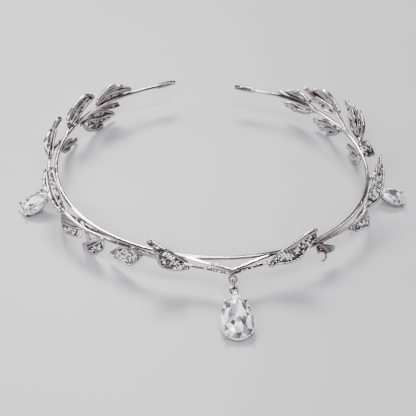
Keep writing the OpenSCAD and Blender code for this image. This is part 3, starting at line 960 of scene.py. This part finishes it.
setter = random.Random(7)


def dimming_power(leaf, t):
    """The power that darkens a leaf's stones, at a share of its length. On the three low leaves under the
    headband it is painted shade.
    """
    foot, tip = STONE_DIMMING.get(leaf.name, (1, 1))
    return foot + (tip - foot) * t


def brighten(piece, made, shade):
    """Write a brightness to the faces that an operator has just made: on a stone it is painted sparkle."""
    layer = piece.faces.layers.float.get("shade") or piece.faces.layers.float.new("shade")
    for face in {face for corner in made["verts"] for face in corner.link_faces}:
        face[layer] = shade


def small_stone(piece, place, size=STONE, power=1):
    height, radius = CROWN_HEIGHT * size, size / 2
    tilt_x, tilt_y = (math.radians(setter.uniform(-STONE_TILT, STONE_TILT)) for _ in range(2))
    tilt = Matrix.Rotation(tilt_x, 4, "X") @ Matrix.Rotation(tilt_y, 4, "Y")
    middle = place @ tilt @ moved(0, 0, height / 2)
    cut = dict(cap_ends=True, segments=8, radius1=radius, radius2=TABLE_SHARE * radius, depth=height)
    made = bmesh.ops.create_cone(piece, **cut, matrix=middle)
    brighten(piece, made, setter.random() ** power)


def stone_place(leaf, t, q, inner=False):
    """Axes that stand square to the leaf's outer or inner skin at a place."""
    lift = PLATE_TOP - PLATE_THICK if inner else PLATE_TOP
    here = leaf.at(t, q, lift)
    x = (leaf.at(t + FEEL[0], q, lift) - here).normalized()
    low, high = (q - FEEL[1], q) if q > 0 else (q, q + FEEL[1])
    across = leaf.at(t, high, lift) - leaf.at(t, low, lift)
    z = x.cross(across).normalized()
    if (z.dot(leaf.z) < 0) != inner:
        z = -z
    return seat(x, z.cross(x), z, here)


def grip_bead(piece, place):
    made = bmesh.ops.create_icosphere(piece, subdivisions=1, radius=GRIP_BEAD, matrix=place)
    brighten(piece, made, GRIP_SHADE)


def clear(leaf, t, q, inner):
    rods = [f for f in fingers[leaf.name] if inner or not f.inner]
    return all(f.distance(t, q) > f.half_wide + FINGER_ROOM[inner] for f in rods)


def stone_places(leaf, inner=False):
    """Shares along and across a leaf for its stones, clear of the rims."""
    pitch = STONE_PITCH * COARSE_LEAVES.get(leaf.name, 1)
    row = 0
    t = FIELD_FROM
    while t < FIELD_TO:
        low, high = (share * leaf.width / 2 for share in edge_at(leaf, t))
        across = pitch * (math.ceil(low / pitch) + 0.5 * (row % 2))
        while across <= high:
            q = across / (leaf.width / 2)
            if low + EDGE_ROOM <= across <= high - EDGE_ROOM and clear(leaf, t, q, inner):
                yield t, q
            across += pitch
        t += ROW_STEP * pitch / leaf.length
        row += 1


# %% The fields of both sides
for side, word in SIDES.items():
    field = bmesh.new()
    for leaf in leaves:
        if leaf.side == side:
            coarse = COARSE_LEAVES.get(leaf.name, 1)
            for t, q in stone_places(leaf):
                place = stone_place(leaf, t, q) @ moved(0, 0, coarse * STONE_LIFT)
                small_stone(field, place, coarse * STONE, dimming_power(leaf, t))
                grip_x, grip_y = (share * coarse * STONE_PITCH for share in GRIP_AT)
                grip_bead(field, place @ moved(grip_x, grip_y, GRIP_LIFT))
            if fingers[leaf.name][0].inner:
                for t, q in stone_places(leaf, inner=True):
                    small_stone(field, stone_place(leaf, t, q, inner=True), power=dimming_power(leaf, t))
    finish_piece("leaf_glitter_" + word, field, [glitter], "leaf_stones_" + word, sharp=10)

# %% [markdown]
# ## The line of stones at the brow
#
# The lower bars of the brow are the first stretch of the vine. A single line
# of small stones runs along each, tipped up and outwards so that they catch
# the light.

# %% Brow stones
BROW_STONE = 0.9
BROW_STONES_FROM = 2.2
BROW_STONES_STEP = 0.95
BROW_STONES_EACH = 14
BROW_TIP_OUT, BROW_TIP_UP = 0.8, 0.6
BROW_SINK = 0.1
BROW_DIMMING = 1.8


def vine_at(side, angle):
    """The vine's middle line at an angle, near the brow."""
    knots = VINE[side]
    for (a0, out0, z0), (a1, out1, z1) in zip(knots, knots[1:]):
        if angle <= a1:
            t = (angle - a0) / (a1 - a0)
            return ring(side * angle, out0 + (out1 - out0) * t, z0 + (z1 - z0) * t)


brow_line = bmesh.new()
for side in SIDES:
    for i in range(BROW_STONES_EACH):
        angle = BROW_STONES_FROM + i * BROW_STONES_STEP
        z = (BROW_TIP_OUT * outward(side * angle) + BROW_TIP_UP * UP).normalized()
        x = UP.cross(z).normalized()
        centre = vine_at(side, angle) + (VINE_WIRE / 2 - BROW_SINK) * z
        small_stone(brow_line, seat(x, z.cross(x), z, centre), BROW_STONE, BROW_DIMMING)
finish_piece("brow_glitter", brow_line, [glitter], "brow_stones", sharp=10)

# %% [markdown]
# ## The drops
#
# A drop hangs from a fixed loop: first a jump ring that stands on edge, then
# a bail that lies flat, then the setting. Because the crown lies on a table,
# each drop slopes down to it. A drop is modelled in its own frame, with y
# running down its middle line and z out of the stone, and a matrix brings
# it to its place. A side drop's loop stands on a short wire from the band.

# %% Where the drops hang
# angle, distance out, height, slope of the rings, slope of the stone, turn, roll, width, length, ring scale
DROPS = {
    "front": (BROW_AT, 6.1, 10.2, 17.5, 17.5, 0, -3, 13, 18, 1),
    "left": (-80.8, 0.6, 13, 68, 28, 9, 6, 10, 14, 0.75),
    "right": (79.3, 2.7, 11.2, 80, 20, 2, -4, 10, 14, 0.75),
}
# a side drop's post: half width at the root, how far under the band's middle line
# it starts, and how far it ends short of the hook and above it
POST_ROOT = 0.7
POST_UNDER = 0.4
POST_SHORT, POST_ABOVE = 0.2, 0.1
LINK_WIRE = 0.65
LINK_THICK = 0.95
LOOP_R = 1.5
LOOP_Y = 1.6
JUMP_HALF = 1.9
JUMP_WIDE = 0.95
BAIL_R = 1.45
LINK_GAP = 0.3
JUMP_Y = LOOP_Y + LOOP_R - LINK_WIRE - LINK_GAP + JUMP_HALF
BAIL_Y = JUMP_Y + JUMP_HALF - LINK_WIRE - LINK_GAP + BAIL_R
STONE_FROM = BAIL_Y + BAIL_R + 0.15
RIM_GAP = 0.15
RIM_WALL = 0.35


def downhill(angle, slope):
    return cos(slope) * outward(angle) - sin(slope) * UP


def slope_seat(angle, slope, at):
    y = downhill(angle, slope)
    z = sin(slope) * outward(angle) + cos(slope) * UP
    return seat(y.cross(z), y, z, at)


class Drop:
    """The places of a drop's rings and of its stone, as matrices."""

    def __init__(self, row):
        angle, out, height, link_slope, stone_slope, turn, roll, self.width, self.length, self.links = row
        hook = ring(angle, out, height)
        chain = self.links * (BAIL_Y - BAIL_R)
        self.rings = slope_seat(angle, link_slope, hook) @ Matrix.Scale(self.links, 4)
        joint = slope_seat(angle + turn, stone_slope, hook + chain * downhill(angle, link_slope))
        self.swing = joint @ Matrix.Rotation(math.radians(-roll), 4, "Y") @ moved(0, -chain, 0)
        middle = STONE_FROM * self.links + RIM_WALL + RIM_GAP + self.length / 2
        self.stone = self.swing @ moved(0, middle, 0)


drops = {name: Drop(row) for name, row in DROPS.items()}
for name, drop in drops.items():
    print("the stone of the", name, "drop lies at", [round(c, 1) for c in drop.stone.translation])


# %% Rings
def link(half_x, half_y, place, steps=28):
    path = [Vector((half_x * cos(360 * i / steps), half_y * sin(360 * i / steps), 0)) for i in range(steps)]
    body = rod(path, LINK_THICK / 2, sides=10, closed=True)
    bmesh.ops.transform(body, matrix=place, verts=body.verts)
    return body


loops = bmesh.new()
for name, drop in drops.items():
    join(loops, link(LOOP_R, LOOP_R, drop.rings @ moved(0, LOOP_Y, 0)))
    on_edge = drop.rings @ moved(0, JUMP_Y, 0) @ Matrix.Rotation(math.pi / 2, 4, "Y")
    jump = bmesh.new()
    join(jump, link(JUMP_WIDE, JUMP_HALF, on_edge))
    finish_piece("jump_link_" + name, jump, [dull_and_shaded], "jump_ring_" + name)
for name in SIDES.values():
    angle, out, height = DROPS[name][:3]
    root, tip = BAND_HEIGHT - POST_UNDER, height + POST_ABOVE
    post = [ring(angle, 0, root), ring(angle, out - POST_SHORT, tip)]
    join(loops, rod(post, [POST_ROOT, POST_TIP], normal=outward(angle + 90)))
finish_piece("drop_loops", loops, [dull_and_shaded], "vine_circlet")

# %% [markdown]
# ## The pear stones
#
# The outline of a pear cut comes from one formula: the width goes with the
# sine of the turn times a power of the sine of half the turn, which gives a
# round belly and a point. The cut is a convex body, so it needs only corners:
# the table, the stars, the girdle, the pavilion and the culet. The
# `convex_hull` operator finds the facets between them. Each facet then gets
# a painted brightness, which stands in for its reflections. The table is the
# one large facet, and the facets below show through it, so it is inset twice
# and its small faces get painted reflections of those facets one by one.

# %% Pear outline and cut
PEAR_POINT = 0.4
# the formula's greatest value, by which it is divided
PEAR_PEAK = 0.885
GIRDLE = 0.3
CROWN = 0.15
PAVILION = 0.2
STARS = 0.8
MIDWAY = 0.56
CULET = 0.08
FACETS = 14
DARKEST = 0.2


def pear(width, length, turn):
    belly = sin(turn) * max(0, sin(turn / 2)) ** PEAR_POINT / PEAR_PEAK
    return Vector((width / 2 * belly, -length / 2 * cos(turn), 0))


# painted reflections on the table's faces, how bright: share of the outline, then round from the point
TABLE_SHADES = {
    0.34: [0.55, 0.5, 0.4, 0.35, 0.5, 0.15, 1, 0.9, 0.15, 0.3, 0.7, 0.95, 0.9, 0.6],
    0.12: [0.55, 0.5, 0.5, 0.4, 0.6, 0.7, 0.55, 0.4, 0.3, 0.6, 0.85, 0.95, 0.9, 0.7],
}


def sector(face, length, share):
    """Which of the facets' steps round the outline a face of the table lies in."""
    centre = face.calc_center_median()
    turn = math.degrees(math.acos(max(-1, min(1, -2 * centre.y / (length * share)))))
    return int((turn if centre.x > 0 else 360 - turn) * FACETS / 360) % FACETS


def pear_stone(width, length):
    """The cut's corners by level: share of the outline, height, and whether they sit between the others."""
    half, crown, pavilion = GIRDLE / 2, CROWN * width, PAVILION * width
    levels = [
        (TABLE_SHARE, half + crown, 0),
        (STARS, half + crown * MIDWAY, 0.5),
        *((1, height, shift) for height in (half, -half) for shift in (0, 0.5)),
        (MIDWAY, -half - pavilion * MIDWAY, 0.5),
        (CULET, -half - pavilion, 0),
    ]
    body = bmesh.new()
    for share, height, shift in levels:
        for i in range(FACETS):
            corner = pear(width, length, 360 * (i + shift) / FACETS) * share
            body.verts.new((corner.x, corner.y, height))
    bmesh.ops.convex_hull(body, input=body.verts)
    bmesh.ops.dissolve_limit(body, angle_limit=math.radians(1), verts=body.verts, edges=body.edges)
    bmesh.ops.recalc_face_normals(body, faces=body.faces)
    # every facet gets a random painted brightness, which stands in for its reflections
    facet = body.faces.layers.float.new("facet")
    for face in body.faces:
        face[facet] = setter.uniform(DARKEST, 1)
    share = TABLE_SHARE
    for smaller, shades in TABLE_SHADES.items():
        table = max(body.faces, key=lambda face: face.calc_center_median().z)
        made = bmesh.ops.inset_individual(body, faces=[table], thickness=0)["faces"]
        bmesh.ops.scale(body, vec=(smaller / share, smaller / share, 1), verts=table.verts)
        for face in made:
            face[facet] = shades[sector(face, length, (share + smaller) / 2)]
        share = smaller
    return body


for name, drop in drops.items():
    stone = bmesh.new()
    body = pear_stone(drop.width, drop.length)
    bmesh.ops.transform(body, matrix=drop.stone, verts=body.verts)
    join(stone, body, smooth=False)
    finish_piece("pear_stone_" + name, stone, [glass], "drop_stone_" + name, sharp=1)

# %% [markdown]
# ## The settings
#
# A setting is a faceted foil cup under the stone, a thin rail round the
# girdle, a second smaller rail below it, and claws that rise from that rail
# and reach over the stone's edge with bead heads. The claws by the belly
# stand further out than those by the point. The cup starts as a circle that
# is bent to the pear's outline, and its wall is extruded down inside and up
# outside.

# %% Cup, rails and claws
# where the claws stand round the outline, in degrees from the point, and how far they stand out
CLAW_TURNS = {48: 0.35, 142: 0.85, 220: 0.85, 312: 0.35}
CLAW_WIRE = 0.42
CLAW_HEAD = 0.68
CLAW_TOP = 0.75
HEAD_UP = 0.15
KNEE_OUT, KNEE_DOWN = 0.05, 0.6
CUP_SIDES = 28
# the two rails' half widths, and how thick they are by that
RAIL, LOW_RAIL = 0.24, 0.3
RAIL_TALL = 1.2
RAIL_OUT, RAIL_DOWN = 0.4, 0.2
# how deep the lower rail and the claws' feet lie, by the width, and where they stand, by the outline
FOOT = 0.2
FOOT_SHARE = 0.78
RAIL_SHARE = 0.8


def foil_cup(width, length):
    """Shares of the outline and heights: down the inside, then up the outside."""
    half, pavilion = GIRDLE / 2, PAVILION * width
    deep = half + pavilion
    profile = [
        (1.03, 0.1), (1.03, -half - 0.1), (0.6, -half - pavilion * MIDWAY - 0.15), (0.12, -deep - 0.15),
        (0.2, -deep - 0.5), (0.64, -deep * 0.66 - 0.5), (1.06, -GIRDLE - 0.35), (1.06, 0.1),
    ]
    body = bmesh.new()
    bmesh.ops.create_circle(body, segments=CUP_SIDES, radius=1)
    for i, corner in enumerate(body.verts):
        corner.co = pear(width, length, 360 * i / CUP_SIDES)
    rim, share_now, height_now = list(body.edges), 1, 0
    for i, (share, height) in enumerate(profile):
        if i > 0:
            made = bmesh.ops.extrude_edge_only(body, edges=rim)["geom"]
            rim = [g for g in made if isinstance(g, bmesh.types.BMEdge) and g.is_boundary and g not in rim]
        corners = list({v for e in rim for v in e.verts})
        bmesh.ops.scale(body, vec=(share / share_now, share / share_now, 1), verts=corners)
        bmesh.ops.translate(body, vec=(0, 0, height - height_now), verts=corners)
        share_now, height_now = share, height
    bmesh.ops.bridge_loops(body, edges=[e for e in body.edges if e.is_boundary])
    bmesh.ops.recalc_face_normals(body, faces=body.faces)
    return body


def rail(width, length, share, height, half, steps=44):
    path = [pear(width, length, 360 * i / steps) * share + height * UP for i in range(steps)]
    return rod(path, half, half * RAIL_TALL, sides=8, closed=True)


def claw(width, length, turn, proud):
    """A post from the lower rail over the rim, and its bead head."""
    edge = pear(width, length, turn)
    out = edge.normalized()
    low = edge * FOOT_SHARE - FOOT * width * UP
    knee = edge + (proud + KNEE_OUT) * out - KNEE_DOWN * UP
    top = edge + proud * out + CLAW_TOP * UP
    post = rod(curve([low, knee, top], 4), CLAW_WIRE, normal=out, sides=8)
    return post, ball(CLAW_HEAD, Matrix.Translation(top + HEAD_UP * UP))


for name, drop in drops.items():
    width, length = drop.width, drop.length
    setting = bmesh.new()
    join(setting, foil_cup(width, length), material=1, smooth=False)
    join(setting, rail(width + RAIL_OUT, length + RAIL_OUT, 1, -RAIL_DOWN, RAIL))
    join(setting, rail(width, length, RAIL_SHARE, -FOOT * width, LOW_RAIL))
    for turn, proud in CLAW_TURNS.items():
        join(setting, *claw(width, length, turn, proud))
    bmesh.ops.transform(setting, matrix=drop.stone, verts=setting.verts)
    bail = drop.swing @ Matrix.Scale(drop.links, 4) @ moved(0, BAIL_Y, 0)
    join(setting, link(BAIL_R, BAIL_R, bail))
    finish_piece("setting_" + name, setting, [cast, foil], "drop_setting_" + name, sharp=30)

# %% [markdown]
# ## The wound ends
#
# Each end of the headband is wound with thin wire and closed by a small
# flat eye, so that it doesn't scratch and a ribbon can be tied through it.
# The winding is a helix, which is just another path for the rod.

# %% End eyes
SLEEVE_LENGTH = 8
SLEEVE_START = 1.2
WRAP_TURNS = 9
WRAP_STEPS = 12
WRAP_RADIUS = 1.12
WRAP_WIRE = 0.36
WRAP_MARGIN = 0.3
# the core under the wraps: how far along the sleeve, and its half width there
CORE = {0.1: 0.95, 0.5: 1.1, SLEEVE_LENGTH - 0.4: 1.1, SLEEVE_LENGTH: 0.8}
EYE_RADIUS = 1.6
EYE_LINE = 1.15
EYE_STEPS = 24
EYE_OVERLAP = 0.5
EYE_WIDE, EYE_THICK = 0.45, 0.85


def end_eye(side):
    along = end_heading(side)
    start = ring(END_ANGLE[side]) + SLEEVE_START * along
    across = UP.cross(along)
    place = seat(across, UP, along, start)
    steps = WRAP_STEPS * WRAP_TURNS
    path = []
    for i in range(steps + 1):
        turn = 360 * i / WRAP_STEPS
        z = WRAP_MARGIN + (SLEEVE_LENGTH - 2 * WRAP_MARGIN) * i / steps
        path.append(place @ Vector((WRAP_RADIUS * cos(turn), WRAP_RADIUS * sin(turn), z)))
    wrap = rod(path, rounded(len(path), WRAP_WIRE), normal=along, sides=8)
    core = rod([place @ (z * UP) for z in CORE], list(CORE.values()))
    centre = start + (SLEEVE_LENGTH + EYE_RADIUS - EYE_OVERLAP) * along
    turns = [360 * i / EYE_STEPS for i in range(EYE_STEPS)]
    circle = [centre + EYE_LINE * (cos(turn) * along + sin(turn) * across) for turn in turns]
    return wrap, core, rod(circle, EYE_WIDE, EYE_THICK, sides=10, closed=True)


for side, word in SIDES.items():
    end = bmesh.new()
    join(end, *end_eye(side))
    finish_piece("wound_end_" + word, end, [cast], "end_eye_" + word)

# %% [markdown]
# ## The studio
#
# The crown lies on a plain pale floor. A wide soft light stands behind it
# and high up, as the shadows in the photo tell. One overhead and one in front
# fill the near side. A tall narrow light at the left, and a weaker one at
# the right, draw lines of light along the wires.

# %% Floor, lights and world
def pale_floor():
    shop = Shop("pale_floor")
    tint = shop.mix(shop.noise(120), (0.4, 0.39, 0.4, 1), (0.36, 0.35, 0.37, 1))
    return shop.finish(Base_Color=tint, Roughness=0.5)


ground = bmesh.new()
bmesh.ops.create_grid(ground, x_segments=1, y_segments=1, size=3)
floor_mesh = bpy.data.meshes.new("floor")
ground.to_mesh(floor_mesh)
ground.free()
floor_mesh.materials.append(pale_floor())
floor = bpy.data.objects.new("floor", floor_mesh)
bpy.context.scene.collection.objects.link(floor)


def soft_light(name, azimuth, elevation, distance, size, power):
    """An area light that looks at the crown. Azimuth 0 stands behind it, and 90 to its right."""
    lamp = bpy.data.lights.new(name, "AREA")
    lamp.shape = "RECTANGLE"
    lamp.size, lamp.size_y = size
    lamp.energy = power
    obj = bpy.data.objects.new(name, lamp)
    away = Vector((sin(azimuth) * cos(elevation), cos(azimuth) * cos(elevation), sin(elevation)))
    obj.location = distance * away
    obj.rotation_euler = away.to_track_quat("Z", "Y").to_euler()
    bpy.context.scene.collection.objects.link(obj)


# azimuth, elevation, distance and size in metres, power in watts
soft_light("key", -8, 50, 0.9, (0.4, 0.25), 10)
soft_light("overhead", 165, 72, 1, (0.5, 0.35), 5)
soft_light("edge", -85, 30, 0.8, (0.2, 0.7), 4.5)
soft_light("rim", 80, 40, 0.9, (0.15, 0.5), 1.5)
soft_light("front", 200, 40, 0.9, (0.3, 0.2), 5)

world = bpy.data.worlds.new("studio")
world.use_nodes = True
world.node_tree.nodes["Background"].inputs["Color"].default_value = (0.11, 0.11, 0.115, 1)
bpy.context.scene.world = world
bpy.context.scene.view_settings.look = "AgX - Medium High Contrast"

# %% [markdown]
# ## The camera
#
# The camera stands where the photographer's did: in front and a little to
# the left, 42 degrees above the table, with a slight roll. Its direction
# and distance come from fitting the headband's outline.

# %% Camera
TARGET = Vector((-5.72, -31.47, 14))
DISTANCE = 354.7
ELEVATION = 42
AZIMUTH = -9.26
ROLL = 4.62
LENS = 72.35

back = Vector((sin(AZIMUTH) * cos(ELEVATION), -cos(AZIMUTH) * cos(ELEVATION), sin(ELEVATION)))
right = Vector((cos(AZIMUTH), sin(AZIMUTH), 0))
above = back.cross(right)
lens = bpy.data.cameras.new("camera")
lens.lens = LENS
lens.sensor_width = 36
camera = bpy.data.objects.new("camera", lens)
x, y = cos(ROLL) * right + sin(ROLL) * above, cos(ROLL) * above - sin(ROLL) * right
camera.matrix_world = seat(x, y, back, MM * (TARGET + DISTANCE * back))
bpy.context.scene.collection.objects.link(camera)
bpy.context.scene.camera = camera
print("camera at", [round(c, 3) for c in camera.location])
